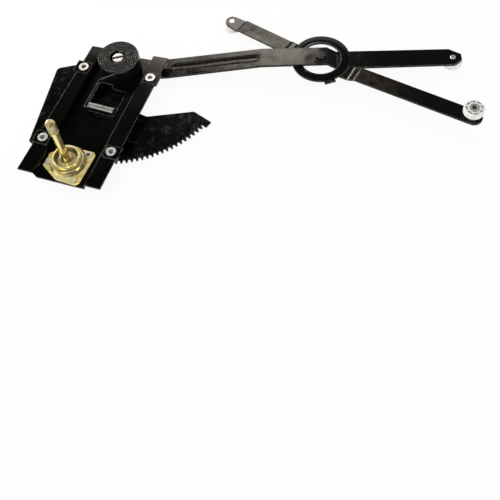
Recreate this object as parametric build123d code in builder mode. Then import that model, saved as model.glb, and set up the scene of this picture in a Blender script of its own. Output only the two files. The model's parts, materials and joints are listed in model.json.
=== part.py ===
"""Manual window regulator: base plate, crank drive with wrap-spring brake, sector gear,
lift arm, equalizer arm with its ring, counterbalance spring and three rollers.

Millimetres. The crank turns about Z and the mounting nuts' faces lie on Z = 0, so the
origin is where the crank axis meets that plane. +Z points into the cabin, +Y runs along
the base plate from the crank to the sector's pivot, and +X points to the rollers.
"""

import os
from math import acos, asin, atan2, cos, degrees, pi, radians, sin, tan

from build123d import *

os.makedirs("parts", exist_ok=True)

# ---------------------------------------------------------------- driving dimensions
# Gear pair: 12 teeth to the inch of pitch diameter, profile shifted to suit a small pinion.
module = 25.4 / 12
pressure_angle = 20.0
pinion_count = 10
sector_count = 140  # teeth if the sector were a full wheel
profile_shift = 0.5
pinion_addendum = 0.85  # in modules, before the shift
backlash = 0.25
tip_clearance = 0.53
teeth_before, teeth_after = 9, 27  # sector teeth on each side of the mesh at rest
mesh_phase = 0.35  # where the next tooth stands past the line of centres, in tooth steps

# Sheet gauges.
plate_gauge = 2.0
sector_gauge = 2.5
lift_gauge = 3.0
equalizer_gauge = 2.5

# Fits.
running = 0.06  # radial, shaft in bush
seat = 0.02  # radial, piece fixed in its hole
axial = 0.3  # end float between pieces that turn on each other

# Base plate: a hat section, its two flanges standing proud of the channel floor.
# Its ends are cut a little askew and its left edge flares towards the foot.
plate_foot = (-32.2, -28.4)
plate_head = (175.9, 185.2)
left_edge, right_edge, left_flare = -48.4, 59.0, 4.4
left_wall, right_wall = -32.0, 38.0  # bend lines at the flanges
wall_draft = 2.2
channel_depth = 8.8
bend_radius = 1.2
nut_left_x, nut_left_y = -42.5, (19.0, 138.0)
nut_right_x, nut_right_y = 50.0, (24.5, 146.5)
pad_length, pad_width, pad_rise = 18.0, 20.0, 1.8
pad_window = 9.0
nut_flange_radius, nut_flange = 6.4, 1.0
nut_body_radius, nut_body = 5.2, 6.5
nut_bore_radius = 3.3

# Window in the floor whose edges are turned up to hold the spring's tail.
window_left, window_right, window_low, window_high = -11.0, 24.0, 83.0, 122.5
wall_height, wall_gauge, lip_width = 8.4, 1.8, 7.2

# Stack behind the channel floor.
lift_gap = 0.4

# Lift arm, along its own axis from the sector's pivot.
lift_angle = 18.35
lift_bend, lift_crest, crest_level = 61.0, 187.0, 2.0
lift_joggle = (8.0, 20.0)  # measured on from the centre pivot
lift_tip_level = -6.5
lift_upper = (14.9, 13.8)  # half widths at the root and at the tip
lift_lower = (15.8, 11.9)
lift_root_at, lift_tip_at = 50.0, 428.5
centre_pivot_at, lift_stud_at, lift_end = 264.0, 432.9, 443.6
root_radius = 20.0
bead_start, bead_end, bead_width, bead_depth, bead_draft = 67.0, 186.0, 13.0, 1.3, 40.0

# Equalizer arm: a ring at the centre pivot and two limbs that run to the rollers.
ring_outer, ring_inner = 37.7, 25.9
hub_radius, hub_gap = 9.2, 1.5
tongue_angle, tongue_width = 183.4, 12.0
lug_angle, lug_breadth, lug_reach = -55.3, 14.4, 41.6
short_angle, short_stud_at, short_offset = 165.2, 141.9, 7.8  # offset: limb's axis to centre
short_half, short_end, short_taper = 10.4, 8.6, 15.0
short_line = ((15.4, -11.6), (18.2, -9.2), (92.0, -4.0), (96.5, -2.5))  # from the stud, and the level
long_angle, long_stud_at, long_offset = -10.84, 207.4, 5.7
long_half, long_end_shift = 10.9, 2.3
long_line = ((152.0, 1.5), (161.0, -2.5))

# Pivots and studs.
pivot_radius, arbor_radius, arbor_top = 6.3, 7.7, 8.8
arbor_slot, slot_angle = 3.6, 30.0
bush_radius, bush_flange_radius, bush_flange = 8.6, 11.0, 0.5
centre_radius, centre_head_radius, centre_head = 5.0, 6.8, 2.4
neck, journal, front_head_radius, front_head = 2.8, 5.0, 3.8, 0.9
rear_head_radius, rear_head = 8.0, 1.4
roller_radius, roller_width = 12.7, 7.5
shoulder_radius, shoulder_height = 7.0, 8.7
collar_radius, collar, collar_bore, collar_bore_depth = 6.2, 0.8, 3.1, 6.0
pocket_radii, pocket_depth, rib_count, rib_width = (7.7, 10.6), 1.4, 8, 1.5

# Counterbalance spring.
band, coil_pitch, first_radius, half_turns = 1.5, 2.75, 10.4, 13
spring_top, spring_height = 9.3, 18.6
tail_leaves_at = -73.0
tail_path = ((-15.2, 125.8), (-15.2, 79.6), (-9.0, 79.6))
tail_level, tail_rise = -3.0, 0.53  # level of the tail's upper edge at its corner, and its slope

# Crank drive.
shank_radius, spline_radius, spline_length, spline_count = 5.0, 5.9, 15.0, 24
shaft_top = 70.0
pinion_seat = 4.0
housing_outline = ((-28.2, -14.5), (-3.0, -29.2), (27.6, -29.2), (29.4, 22.4), (5.0, 21.5), (-28.2, 6.0))
lobes = ((20.0, 17.0), (19.3, -23.4), (-23.8, -6.7))
cup_radius, cup_bore, lip_height = 18.1, 14.8, 3.4
neck_radius, body_top_radius, body_foot_radius = 16.6, 20.5, 24.0
cup_top, neck_foot = 0.9, -4.6
housing_gauge = 2.0
rivet_radius, rivet_head_radius, rivet_head = 2.4, 3.8, 1.6
eyelet_radius, eyelet_head_radius, eyelet_head, eyelet_bore = 3.7, 4.8, 0.7, 2.9
pinion_face, pinion_proud = 4.2, 0.8

# ---------------------------------------------------------------- levels and places
centre_distance = module * (sector_count + pinion_count) / 2
pivot = Vector(0, centre_distance)
pad_top = -nut_flange
flange_top = pad_top - pad_rise
floor_top = flange_top - channel_depth
floor_back = floor_top - plate_gauge
lift_front = floor_back - lift_gap
sector_top = lift_front - lift_gauge
sector_back = sector_top - sector_gauge
crest_back = crest_level - lift_gauge
ring_top = crest_back - hub_gap
ring_back = ring_top - equalizer_gauge
spring_foot = spring_top - spring_height
pinion_top = sector_top + pinion_proud
pinion_back = pinion_top - pinion_face

pinion_pitch = module * pinion_count / 2
pinion_tip = pinion_pitch + module * (pinion_addendum + profile_shift)
sector_pitch = module * sector_count / 2
sector_tip = sector_pitch + module * (1 - profile_shift)
sector_root = centre_distance - pinion_tip - tip_clearance
pinion_root = centre_distance - sector_tip - tip_clearance
tooth_step = 360 / sector_count
first_tooth = -90 - (teeth_before - mesh_phase) * tooth_step
last_tooth = -90 + (teeth_after - 1 + mesh_phase) * tooth_step
pinion_start = 90 - (mesh_phase - 0.5) * 360 / pinion_count


def involute(angle):
    return tan(angle) - angle


def half_tooth(radius, count, shift):
    """Half of a tooth's angle, in radians, at a radius of its gear."""
    pitch = module * count / 2
    base = pitch * cos(radians(pressure_angle))
    thickness = module * (pi / 2 + 2 * shift * tan(radians(pressure_angle))) - backlash / 2
    slope = acos(base / max(radius, base))
    return thickness / (2 * pitch) + involute(radians(pressure_angle)) - involute(slope)


def tooth_outline(count, shift, root, tip, steps):
    """Corners of one tooth that points along +X, sunk a little into its blank."""
    sink = 0.4
    radii = [root - sink] + [root + (tip - root) * i / steps for i in range(steps + 1)]
    flank = [(r * cos(half_tooth(r, count, shift)), r * sin(half_tooth(r, count, shift))) for r in radii]
    return [(x, -y) for x, y in flank] + flank[::-1]


def polar(radius, angle):
    return radius * cos(radians(angle)), radius * sin(radians(angle))


def side_plane(origin, angle):
    """Upright plane along an arm: its X runs along the arm and its Y is the part's Z."""
    along = (cos(radians(angle)), sin(radians(angle)), 0)
    across = (sin(radians(angle)), -cos(radians(angle)), 0)
    return Plane(origin=(origin.X, origin.Y, 0), x_dir=along, z_dir=across)


def plan_plane(origin, angle, level):
    """Level plane whose X runs along an arm."""
    along = (cos(radians(angle)), sin(radians(angle)), 0)
    return Plane(origin=(origin.X, origin.Y, level), x_dir=along, z_dir=(0, 0, 1))


def strip(top_line, gauge):
    """Corners of a bent strip's side view, from the line of its top face."""
    return list(top_line) + [(x, z - gauge) for x, z in reversed(top_line)]


def arm_point(origin, angle, along, across=0.0):
    a = radians(angle)
    return Vector(origin.X + along * cos(a) - across * sin(a), origin.Y + along * sin(a) + across * cos(a))


def save(builder, name):
    builder.part.label = name
    export_step(builder.part, f"parts/{name}.step")


def pockets(x, y, level, inward):
    """Cuts the ring of pockets that leaves a roller's face with ribs."""
    inner, outer = pocket_radii
    with BuildSketch(Plane(origin=(x, y, level))) as face:
        Circle(outer)
        Circle(inner, mode=Mode.SUBTRACT)
        with PolarLocations((inner + outer) / 2, rib_count):
            Rectangle(outer, rib_width, mode=Mode.SUBTRACT)
    extrude(face.sketch, amount=inward * pocket_depth, mode=Mode.SUBTRACT)


def disc(radius, x, y, level, height):
    """Adds an upright cylinder to the part being built."""
    with BuildSketch(Plane.XY.offset(level)) as face:
        with Locations((x, y)):
            Circle(radius)
    extrude(face.sketch, amount=height)


def turned(profile, x, y):
    """Adds a piece turned about an upright axis from (radius, level) corners."""
    with BuildSketch(Plane(origin=(x, y, 0), x_dir=(1, 0, 0), z_dir=(0, -1, 0))) as face:
        with BuildLine():
            Polyline(*profile, close=True)
        make_face()
    revolve(face.sketch, axis=Axis((x, y, 0), (0, 0, 1)))


centre = arm_point(pivot, lift_angle, centre_pivot_at)
short_run = short_angle - 180 - degrees(asin(short_offset / short_stud_at))
long_run = 180 + long_angle + degrees(asin(long_offset / long_stud_at))
lift_stud = arm_point(pivot, lift_angle, lift_stud_at)
short_stud = arm_point(centre, short_angle, short_stud_at)
long_stud = arm_point(centre, long_angle, long_stud_at)
nuts = [(nut_left_x, y) for y in nut_left_y] + [(nut_right_x, y) for y in nut_right_y]
fixings = [(eyelet_radius, *lobes[0])] + [(rivet_radius, *at) for at in lobes[1:]]

# ---------------------------------------------------------------- base plate
with BuildPart() as base_plate:
    hat = [
        (left_edge - left_flare - 2, flange_top),
        (left_wall, flange_top),
        (left_wall + wall_draft, floor_top),
        (right_wall - wall_draft, floor_top),
        (right_wall, flange_top),
        (right_edge + 2, flange_top),
    ]
    with BuildSketch(Plane.XZ.offset(-min(plate_foot))):
        with BuildLine():
            Polyline(*strip(hat, plate_gauge), close=True)
        make_face()
        fillet([v for v in vertices() if left_edge < v.X < right_edge], bend_radius)
    extrude(amount=-(max(plate_head) - min(plate_foot)))
    with BuildSketch(Plane.XY):
        with BuildLine():
            Polyline(
                (left_edge - left_flare, plate_foot[0]),
                (right_edge, plate_foot[1]),
                (right_edge, plate_head[1]),
                (left_edge, plate_head[0]),
                close=True,
            )
        make_face()
    extrude(amount=-30, mode=Mode.INTERSECT)
    # Lanced bridges lift the nuts clear of the flanges.
    for x, y in nuts:
        outward = 1 if x > 0 else -1
        with BuildSketch(Plane.XY.offset(pad_top)):
            with Locations((x + outward * 1.5, y)):
                Rectangle(pad_width, pad_length)
        extrude(amount=-(plate_gauge + pad_rise))
        with BuildSketch(Plane.XY.offset(pad_top - plate_gauge)):
            with Locations((x + outward, y)):
                Rectangle(pad_window + 4, pad_length + 0.4)
        extrude(amount=-pad_rise, mode=Mode.SUBTRACT)
    with Locations(*[(x, y, pad_top) for x, y in nuts]):
        Hole(nut_body_radius + seat, depth=6)
    # Spring window with three edges turned up, and the holes in the floor.
    with BuildSketch(Plane.XY.offset(floor_top)):
        with Locations(((window_left + window_right) / 2, (window_low + window_high) / 2)):
            Rectangle(window_right - window_left, window_high - window_low)
        fillet(vertices(), 1.5)
    extrude(amount=-5, mode=Mode.SUBTRACT)
    low_wall = ((window_left + window_right) / 2, window_low - wall_gauge / 2)
    with BuildSketch(Plane.XY.offset(floor_back)):
        with Locations(low_wall):
            Rectangle(window_right - window_left, wall_gauge)
        with Locations((window_left - wall_gauge / 2, (window_low + window_high) / 2)):
            Rectangle(wall_gauge, window_high - window_low - 4)
        with Locations((window_left + 8.5, window_high + wall_gauge / 2)):
            Rectangle(16, wall_gauge)
    extrude(amount=wall_height + plate_gauge)
    with BuildSketch(Plane.XY.offset(floor_top + wall_height)):
        with Locations((low_wall[0], window_low - wall_gauge + lip_width / 2)):
            Rectangle(window_right - window_left, lip_width)
    extrude(amount=-wall_gauge)
    with Locations((pivot.X, pivot.Y, floor_top)):
        Hole(bush_radius + seat, depth=5)
    with Locations((0, 0, floor_top)):
        Hole(shank_radius + 1.5, depth=5)
    for radius, x, y in fixings:
        with Locations((x, y, floor_top)):
            Hole(radius + seat, depth=5)
save(base_plate, "base_plate")

with BuildPart() as clinch_nuts:
    for x, y in nuts:
        disc(nut_flange_radius, x, y, -nut_flange, nut_flange)
        disc(nut_body_radius, x, y, -nut_body, nut_body - nut_flange)
    with Locations(*[(x, y, 0) for x, y in nuts]):
        Hole(nut_bore_radius, depth=nut_body)
save(clinch_nuts, "clinch_nuts")

with BuildPart() as pivot_bush:
    turned(
        [
            (pivot_radius + running, floor_back),
            (bush_radius, floor_back),
            (bush_radius, floor_top),
            (bush_flange_radius, floor_top),
            (bush_flange_radius, floor_top + bush_flange),
            (pivot_radius + running, floor_top + bush_flange),
        ],
        pivot.X,
        pivot.Y,
    )
save(pivot_bush, "pivot_bush")

# ---------------------------------------------------------------- brake housing
with BuildPart() as brake_housing:
    with BuildSketch(Plane.XY.offset(floor_top)):
        with BuildLine():
            Polyline(*housing_outline, close=True)
        make_face()
        fillet([v for v in vertices() if v.X > 10], 6)
        fillet([v for v in vertices() if v.X < 10], 2)
    extrude(amount=housing_gauge)
    turned(
        [
            (shank_radius + running, floor_top),
            (body_foot_radius, floor_top),
            (body_foot_radius, floor_top + housing_gauge),
            (body_top_radius + 1.2, neck_foot - 1.4),
            (body_top_radius, neck_foot),
            (neck_radius, neck_foot),
            (neck_radius, cup_top - lip_height),
            (cup_radius, cup_top - lip_height),
            (cup_radius, cup_top - 0.5),
            (cup_radius - 0.5, cup_top),
            (cup_bore + 0.4, cup_top),
            (cup_bore, cup_top - 0.4),
            (cup_bore, floor_top + housing_gauge),
            (shank_radius + running, floor_top + housing_gauge),
        ],
        0,
        0,
    )
    with BuildSketch(Plane.XY.offset(floor_top + housing_gauge)):
        Circle(cup_bore)
        Circle(shank_radius + running, mode=Mode.SUBTRACT)
    extrude(amount=10, mode=Mode.SUBTRACT)
    with BuildSketch(Plane.XY.offset(floor_top)):
        Circle(shank_radius + running)
    extrude(amount=housing_gauge, mode=Mode.SUBTRACT)
    for radius, x, y in fixings:
        with Locations((x, y, floor_top + housing_gauge)):
            Hole(radius + seat, depth=5)
        with BuildSketch(Plane.XY.offset(floor_top + housing_gauge)):
            with Locations((x, y)):
                Circle(radius + 2.0)
        extrude(amount=3, mode=Mode.SUBTRACT)
save(brake_housing, "brake_housing")

with BuildPart() as housing_rivets:
    for x, y in lobes[1:]:
        disc(rivet_radius, x, y, floor_back, plate_gauge + housing_gauge)
        disc(rivet_head_radius, x, y, floor_top + housing_gauge, rivet_head)
save(housing_rivets, "housing_rivets")

with BuildPart() as housing_eyelet:
    x, y = lobes[0]
    disc(eyelet_radius, x, y, floor_back, plate_gauge + housing_gauge)
    disc(eyelet_head_radius, x, y, floor_top + housing_gauge, eyelet_head)
    with Locations((x, y, 0)):
        Hole(eyelet_bore, depth=30)
save(housing_eyelet, "housing_eyelet")

# ---------------------------------------------------------------- crank and brake parts
driver_foot = floor_top + housing_gauge + 3.2
driver_top, tang_angle = cup_top + 3.0, 27.0
shoulder_level = shaft_top - spline_length
with BuildPart() as crank_shaft:
    turned(
        [
            (0, pinion_back - 2.6),
            (pinion_seat, pinion_back - 2.6),
            (pinion_seat, pinion_top),
            (shank_radius, pinion_top),
            (shank_radius, shoulder_level - 6),
            (shank_radius + 0.9, shoulder_level - 5),
            (shank_radius + 0.9, shoulder_level - 2.5),
            (shank_radius - 0.6, shoulder_level - 1.8),
            (shank_radius - 0.6, shoulder_level),
            (spline_radius, shoulder_level),
            (spline_radius, shaft_top - 2.6),
            (spline_radius - 1.2, shaft_top - 0.6),
            (spline_radius - 3.0, shaft_top),
            (0, shaft_top),
        ],
        0,
        0,
    )
    with BuildSketch(Plane.XY.offset(shaft_top)):
        with PolarLocations(spline_radius + 0.25, spline_count):
            Rectangle(0.6, 0.6, rotation=45)
    extrude(amount=-spline_length, mode=Mode.SUBTRACT)
save(crank_shaft, "crank_shaft")

with BuildPart() as brake_driver:
    with BuildSketch(Plane.XY.offset(driver_foot)):
        Circle(cup_bore - 2.6)
        Circle(shank_radius + seat, mode=Mode.SUBTRACT)
    extrude(amount=1.6)
    with BuildSketch(Plane.XY.offset(driver_foot)):
        with PolarLocations(shank_radius + 1.2, 2, start_angle=tang_angle):
            Rectangle(2.0, 6.4)
    extrude(amount=driver_top - driver_foot)
save(brake_driver, "brake_driver")

wire, spring_turns = 1.4, 4
with BuildPart() as brake_spring:
    coil_radius = cup_bore - axial - wire / 2
    coil_foot = floor_top + housing_gauge + axial + wire / 2
    with BuildLine():
        Helix(pitch=wire + 0.3, height=(wire + 0.3) * spring_turns, radius=coil_radius, center=(0, 0, coil_foot))
    with BuildSketch(Plane(origin=(coil_radius, 0, coil_foot), x_dir=(1, 0, 0), z_dir=(0, 1, 0))):
        Rectangle(wire, wire)
    sweep(is_frenet=True)
save(brake_spring, "brake_spring")

with BuildPart() as pinion:
    with BuildSketch(Plane.XY.offset(pinion_top)):
        Circle(pinion_root)
        with PolarLocations(0, pinion_count, start_angle=pinion_start):
            Polygon(*tooth_outline(pinion_count, profile_shift, pinion_root, pinion_tip, 4), align=None)
        Circle(pinion_seat + seat, mode=Mode.SUBTRACT)
    extrude(amount=-pinion_face)
save(pinion, "pinion")

with BuildPart() as pinion_washer:
    with BuildSketch(Plane.XY.offset(pinion_back)):
        Circle(8.0)
        Circle(pinion_seat + seat, mode=Mode.SUBTRACT)
    extrude(amount=-1.2)
save(pinion_washer, "pinion_washer")

# ---------------------------------------------------------------- sector gear
left_corner, right_corner, throat = (-86.5, -21.5), (118.5, -35.4), (63.0, -60.8)
lug_radius, lug_from, lug_to = 156.3, -115.6, -113.4
tip_radius, blade_end = 152.0, -17.0
hub_outer = 24.0
sector_rivet_points = [arm_point(pivot, angle, 15.5) for angle in (110.0, 215.0, 320.0)]
after_teeth = last_tooth + tooth_step * 0.6
with BuildPart() as sector_gear:
    with BuildSketch(Plane(origin=(pivot.X, pivot.Y, sector_top))):
        with BuildLine():
            Line(polar(hub_outer, 120), left_corner)
            Line(left_corner, polar(lug_radius, lug_from))
            CenterArc((0, 0), lug_radius, lug_from, lug_to - lug_from)
            Line(polar(lug_radius, lug_to), polar(sector_root, lug_to))
            CenterArc((0, 0), sector_root, lug_to, after_teeth - lug_to)
            Line(polar(sector_root, after_teeth), polar(tip_radius, after_teeth))
            CenterArc((0, 0), tip_radius, after_teeth, blade_end - after_teeth)
            Line(polar(tip_radius, blade_end), right_corner)
            Line(right_corner, throat)
            Line(throat, (46.0, -58.0))
            Line((46.0, -58.0), polar(hub_outer, -20))
            Line(polar(hub_outer, -20), polar(hub_outer, 120))
        make_face()
        fillet(vertices().sort_by_distance(left_corner)[0], 6)
        Circle(hub_outer)
        for n in range(teeth_before + teeth_after):
            with PolarLocations(0, 1, start_angle=first_tooth + n * tooth_step):
                Polygon(*tooth_outline(sector_count, -profile_shift, sector_root, sector_tip, 2), align=None)
    extrude(amount=-sector_gauge)
    with Locations((pivot.X, pivot.Y, sector_top)):
        Hole(pivot_radius + seat, depth=5)
    with Locations(*[(p.X, p.Y, sector_top) for p in sector_rivet_points]):
        Hole(rivet_radius + seat, depth=5)
save(sector_gear, "sector_gear")

with BuildPart() as sector_rivets:
    for p in sector_rivet_points:
        disc(rivet_radius, p.X, p.Y, sector_back, lift_gauge + sector_gauge)
        disc(rivet_head_radius, p.X, p.Y, sector_back - rivet_head, rivet_head)
save(sector_rivets, "sector_rivets")

# ---------------------------------------------------------------- lift arm
joggle_from, joggle_to = [centre_pivot_at + s for s in lift_joggle]
lift_line = [
    (-root_radius - 2, lift_front),
    (lift_bend, lift_front),
    (lift_crest, crest_level),
    (joggle_from, crest_level),
    (joggle_to, lift_tip_level),
    (lift_end + 2, lift_tip_level),
]
slope = degrees(atan2(crest_level - lift_front, lift_crest - lift_bend))
with BuildPart() as lift_arm:
    with BuildSketch(side_plane(pivot, lift_angle)):
        with BuildLine():
            Polyline(*strip(lift_line, lift_gauge), close=True)
        make_face()
    extrude(amount=root_radius + 2, both=True)
    with BuildSketch(plan_plane(pivot, lift_angle, 0)):
        with BuildLine():
            Polyline(
                (0, lift_upper[0]),
                (lift_root_at, lift_upper[0]),
                (lift_tip_at, lift_upper[1]),
                (lift_end, 5.0),
                (lift_end, -4.0),
                (lift_tip_at + 5.5, -lift_lower[1]),
                (lift_root_at, -lift_lower[0]),
                (0, -lift_lower[0]),
                close=True,
            )
        make_face()
        Circle(root_radius)
    extrude(amount=40, both=True, mode=Mode.INTERSECT)
    # Stiffening bead pressed into the sloping part.
    bead_origin = arm_point(pivot, lift_angle, lift_bend) + Vector(0, 0, lift_front)
    along, rise = Vector(*polar(1, lift_angle)), radians(slope)
    bead_plane = Plane(
        bead_origin,
        x_dir=along * cos(rise) + Vector(0, 0, sin(rise)),
        z_dir=along * -sin(rise) + Vector(0, 0, cos(rise)),
    )
    bead_from, bead_to = [(s - lift_bend) / cos(radians(slope)) for s in (bead_start, bead_end)]
    for plane, mode in ((bead_plane, Mode.SUBTRACT), (bead_plane.offset(-lift_gauge * cos(radians(slope))), Mode.ADD)):
        with BuildSketch(plane):
            with Locations(((bead_from + bead_to) / 2, 0)):
                SlotOverall(bead_to - bead_from, bead_width)
        extrude(amount=-bead_depth, taper=bead_draft, mode=mode)
    with Locations((pivot.X, pivot.Y, lift_front)):
        Hole(pivot_radius + seat, depth=8)
    with Locations(*[(p.X, p.Y, lift_front) for p in sector_rivet_points]):
        Hole(rivet_radius + seat, depth=8)
    with Locations((centre.X, centre.Y, crest_level)):
        Hole(centre_radius + seat, depth=8)
    with Locations((lift_stud.X, lift_stud.Y, lift_tip_level)):
        Hole(neck + seat, depth=8)
save(lift_arm, "lift_arm")

# ---------------------------------------------------------------- sector pivot
arbor_foot = floor_top + bush_flange + axial
washer_gauge = 1.2
with BuildPart() as pivot_stud:
    turned(
        [
            (0, sector_back - washer_gauge - 2.2),
            (9.0, sector_back - washer_gauge - 2.2),
            (9.0, sector_back - washer_gauge),
            (pivot_radius, sector_back - washer_gauge),
            (pivot_radius, arbor_foot),
            (arbor_radius, arbor_foot),
            (arbor_radius, arbor_top - 1.0),
            (arbor_radius - 1.0, arbor_top),
            (0, arbor_top),
        ],
        pivot.X,
        pivot.Y,
    )
    with BuildSketch(plan_plane(pivot, slot_angle, arbor_top)):
        Rectangle(3 * arbor_radius, arbor_slot)
    extrude(amount=-(arbor_top - spring_foot + axial), mode=Mode.SUBTRACT)
save(pivot_stud, "pivot_stud")

with BuildPart() as pivot_washer:
    with BuildSketch(Plane.XY.offset(sector_back)):
        with Locations((pivot.X, pivot.Y)):
            Circle(11.0)
            Circle(pivot_radius + seat, mode=Mode.SUBTRACT)
    extrude(amount=-washer_gauge)
save(pivot_washer, "pivot_washer")

# ---------------------------------------------------------------- counterbalance spring
# Semicircles with alternating centres make an even spiral. It runs clockwise outwards from
# a tang in the pivot's slot to a tail that hooks round the window's turned-up edges.
coil_start = tail_leaves_at + 180 * half_turns
coil_shift = Vector(*polar(-coil_pitch / 4, coil_start))
coils = []
for k in range(half_turns):
    middle = coil_shift * (1 if k % 2 == 0 else -1)
    coils.append((middle, first_radius + k * coil_pitch / 2, coil_start - 180 * k))
with BuildPart() as spring_tail:
    with BuildSketch(Plane(origin=(pivot.X, pivot.Y, spring_foot))):
        with BuildLine():
            middle, radius, start = coils[-1]
            leaves = middle + Vector(*polar(radius, start - 180))
            FilletPolyline(leaves, *[(x - pivot.X, y - pivot.Y) for x, y in tail_path], radius=3.0)
        trace(line_width=band)
    extrude(amount=spring_height)
    corner = Vector(*tail_path[0], tail_level)
    split(bisect_by=Plane(origin=corner, z_dir=(-tail_rise, 0, 1)), keep=Keep.BOTTOM)

with BuildPart() as counterbalance_spring:
    with BuildSketch(Plane(origin=(pivot.X, pivot.Y, spring_foot))):
        with BuildLine():
            Line((0, 0), polar(first_radius, slot_angle))
            for middle, radius, start in coils:
                CenterArc(middle, radius, start, -180)
        trace(line_width=band)
    extrude(amount=spring_height)
    add(spring_tail.part)
save(counterbalance_spring, "counterbalance_spring")

# ---------------------------------------------------------------- equalizer arm
short_side = side_plane(short_stud, short_run)
with BuildPart() as short_limb:
    reach = short_stud_at - ring_inner + 4
    line = [(-short_end - 2, short_line[0][1]), *short_line, (reach, ring_top)]
    with BuildSketch(short_side):
        with BuildLine():
            Polyline(*strip(line, equalizer_gauge), close=True)
        make_face()
    extrude(amount=short_half + 12, both=True)
    with BuildSketch(plan_plane(short_stud, short_run, 0)):
        with Locations(((reach + short_taper) / 2, 0)):
            Rectangle(reach - short_taper, 2 * short_half)
        Circle(short_end)
        make_hull()
    extrude(amount=30, both=True, mode=Mode.INTERSECT)

with BuildPart() as long_limb:
    reach = long_stud_at - ring_inner + 4
    line = [(-long_half - 6, long_line[0][1]), *long_line, (reach, ring_top)]
    with BuildSketch(side_plane(long_stud, long_run)):
        with BuildLine():
            Polyline(*strip(line, equalizer_gauge), close=True)
        make_face()
    extrude(amount=long_half + 12, both=True)
    with BuildSketch(plan_plane(long_stud, long_run, 0)):
        with Locations((reach / 2, 0)):
            Rectangle(reach, 2 * long_half)
        with Locations((-long_end_shift, 0)):
            Circle(long_half)
    extrude(amount=30, both=True, mode=Mode.INTERSECT)

with BuildPart() as equalizer_arm:
    add(short_limb.part)
    add(long_limb.part)
    with BuildSketch(Plane(origin=(centre.X, centre.Y, ring_top))):
        Circle(ring_outer)
        with Locations(Location((0, 0, 0), (0, 0, lug_angle))):
            with Locations((lug_reach / 2, 0)):
                Rectangle(lug_reach, lug_breadth)
    extrude(amount=-equalizer_gauge)
    with BuildSketch(Plane(origin=(centre.X, centre.Y, ring_top))):
        Circle(ring_inner)
        Circle(hub_radius, mode=Mode.SUBTRACT)
        with Locations(Location((0, 0, 0), (0, 0, tongue_angle))):
            with Locations((ring_inner / 2 + 1, 0)):
                Rectangle(ring_inner + 2, tongue_width, mode=Mode.SUBTRACT)
    extrude(amount=10, both=True, mode=Mode.SUBTRACT)
    with Locations((centre.X, centre.Y, ring_top)):
        Hole(centre_radius + running, depth=8)
    with Locations((short_stud.X, short_stud.Y, short_line[0][1])):
        Hole(neck + seat, depth=8)
    with Locations((long_stud.X, long_stud.Y, long_line[0][1])):
        Hole(neck + seat, depth=8)
save(equalizer_arm, "equalizer_arm")

with BuildPart() as centre_washer:
    with BuildSketch(Plane(origin=(centre.X, centre.Y, crest_back))):
        Circle(7.8)
        Circle(centre_radius + seat, mode=Mode.SUBTRACT)
    extrude(amount=-(hub_gap - axial))
save(centre_washer, "centre_washer")

with BuildPart() as centre_pivot:
    disc(centre_radius, centre.X, centre.Y, ring_back - axial, crest_level - ring_back + axial)
    disc(8.2, centre.X, centre.Y, ring_back - axial - 2.0, 2.0)
    disc(centre_head_radius, centre.X, centre.Y, crest_level, centre_head)
    chamfer(faces().sort_by(Axis.Z)[-1].edges(), 0.8)
save(centre_pivot, "centre_pivot")

# ---------------------------------------------------------------- rollers and studs
for letter, at, top, gauge in (
    ("a", short_stud, short_line[0][1], equalizer_gauge),
    ("b", lift_stud, lift_tip_level, lift_gauge),
):
    back = top - gauge
    roller_top = back - axial
    roller_back = roller_top - roller_width
    with BuildPart() as stud:
        turned(
            [
                (0, top + front_head),
                (front_head_radius - 0.8, top + front_head),
                (front_head_radius, top + front_head - 0.8),
                (front_head_radius, top),
                (neck, top),
                (neck, back),
                (journal, back),
                (journal, roller_back - axial),
                (rear_head_radius, roller_back - axial),
                (rear_head_radius, roller_back - axial - rear_head),
                (0, roller_back - axial - rear_head),
            ],
            at.X,
            at.Y,
        )
    save(stud, f"stud_{letter}")
    with BuildPart() as roller:
        disc(roller_radius, at.X, at.Y, roller_back, roller_width)
        chamfer(edges().filter_by(GeomType.CIRCLE), 0.8)
        with Locations((at.X, at.Y, roller_top)):
            Hole(journal + running, depth=roller_width)
        pockets(at.X, at.Y, roller_back, 1)
    save(roller, f"roller_{letter}")

long_level = long_line[0][1]
shoulder_top = long_level + shoulder_height
roller_foot = shoulder_top + axial
cap = roller_foot + roller_width + axial
with BuildPart() as stud_c:
    turned(
        [
            (0, long_level - equalizer_gauge - 1.8),
            (front_head_radius, long_level - equalizer_gauge - 1.8),
            (front_head_radius, long_level - equalizer_gauge),
            (neck, long_level - equalizer_gauge),
            (neck, shoulder_top),
            (journal, shoulder_top),
            (journal, cap),
            (collar_radius, cap),
            (collar_radius - 0.5, cap + collar),
            (0, cap + collar),
        ],
        long_stud.X,
        long_stud.Y,
    )
    with Locations((long_stud.X, long_stud.Y, cap + collar)):
        Hole(collar_bore, depth=collar_bore_depth)
save(stud_c, "stud_c")

with BuildPart() as spacer_c:
    with BuildSketch(Plane(origin=(long_stud.X, long_stud.Y, long_level))):
        Circle(shoulder_radius)
        Circle(neck + seat, mode=Mode.SUBTRACT)
    extrude(amount=shoulder_height)
save(spacer_c, "spacer_c")

with BuildPart() as roller_c:
    disc(roller_radius, long_stud.X, long_stud.Y, roller_foot, roller_width)
    chamfer(edges().filter_by(GeomType.CIRCLE), 0.8)
    with Locations((long_stud.X, long_stud.Y, roller_foot + roller_width)):
        Hole(journal + running, depth=roller_width)
    pockets(long_stud.X, long_stud.Y, roller_foot + roller_width, -1)
save(roller_c, "roller_c")
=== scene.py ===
# Window regulator, dressed: painted pressings, plated brake and nuts, steel springs, nylon rollers.
import json
from math import cos, pi, radians, sin, tan

import bmesh
import bpy
from mathutils import Matrix, Vector


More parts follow.
